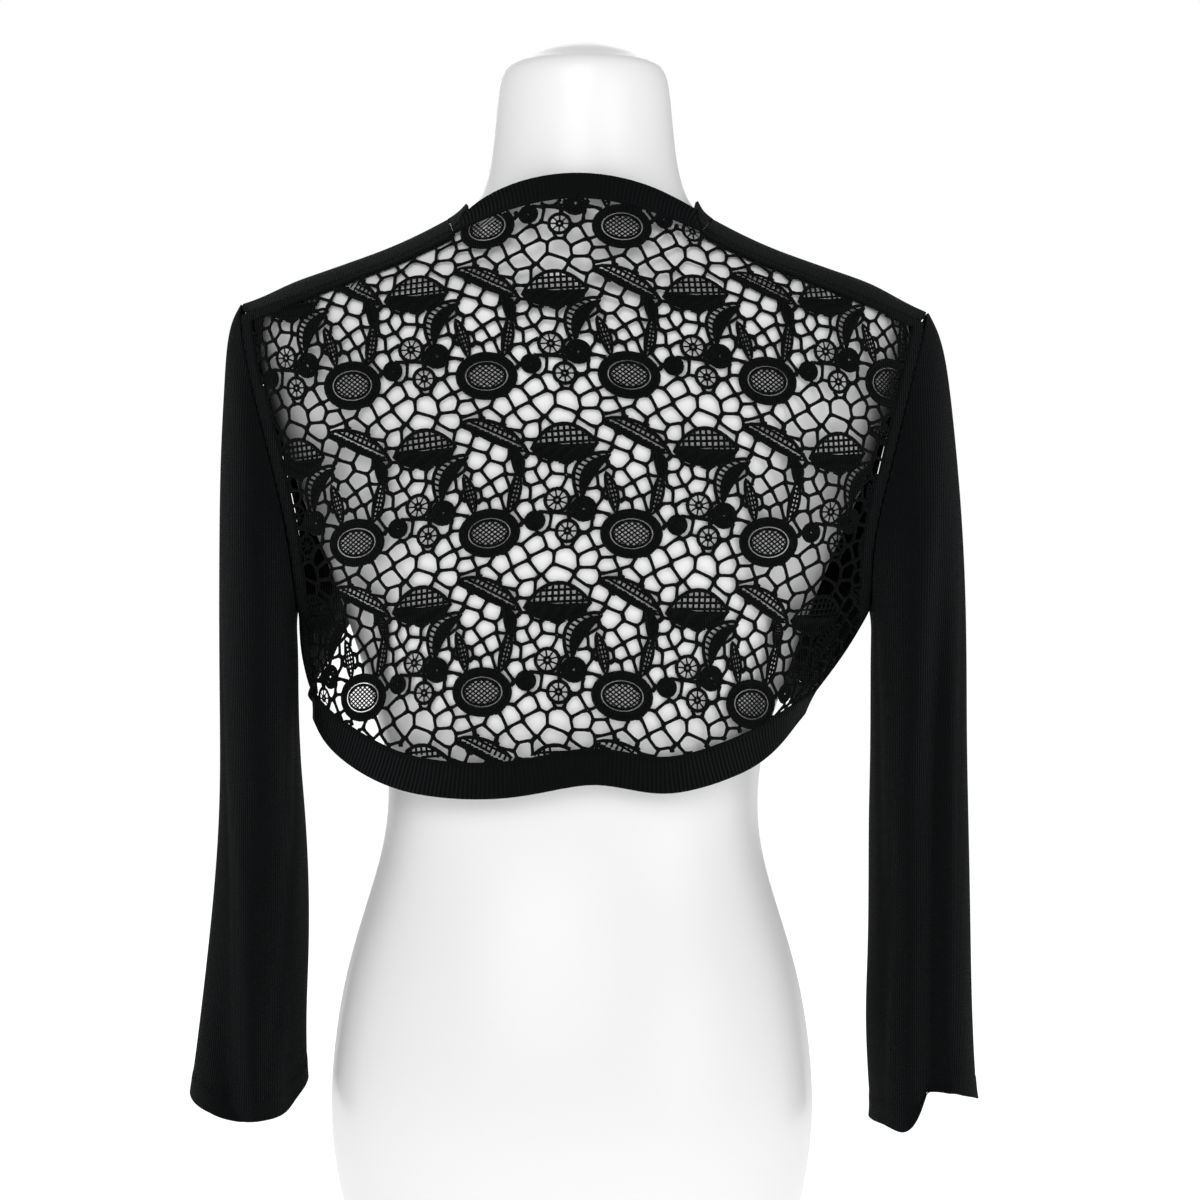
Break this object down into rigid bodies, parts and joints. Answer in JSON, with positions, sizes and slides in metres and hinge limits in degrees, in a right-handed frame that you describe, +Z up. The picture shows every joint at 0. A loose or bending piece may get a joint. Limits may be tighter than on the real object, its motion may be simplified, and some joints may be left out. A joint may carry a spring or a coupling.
{
  "type": "knitted shrug on a limbless dress form",
  "caption": "Black knitted shrug with a lace back, ribbed edges and long sleeves, on a white limbless dress form.",
  "frame": {"origin": "on the form's flat base, in the wearer's middle plane and under the waist", "axes": "+Z up from the base, -Y the way the wearer faces, +X the wearer's left; the lace back faces +Y"},
  "size_m": [0.4736, 0.2285, 0.759],
  "materials": {
    "form_shell": "semi-gloss",
    "lace": "matte",
    "jersey": "matte",
    "rib": "matte"
  },
  "bodies": {
    "root": {"dress_form": "form_shell", "back_panel": "lace", "front_left": "jersey", "front_right": "jersey", "sleeve_left": "jersey", "sleeve_right": "jersey", "neck_band": "rib", "front_band_left": "rib", "front_band_right": "rib", "hem_band": "rib"}
  },
  "joints": []
}
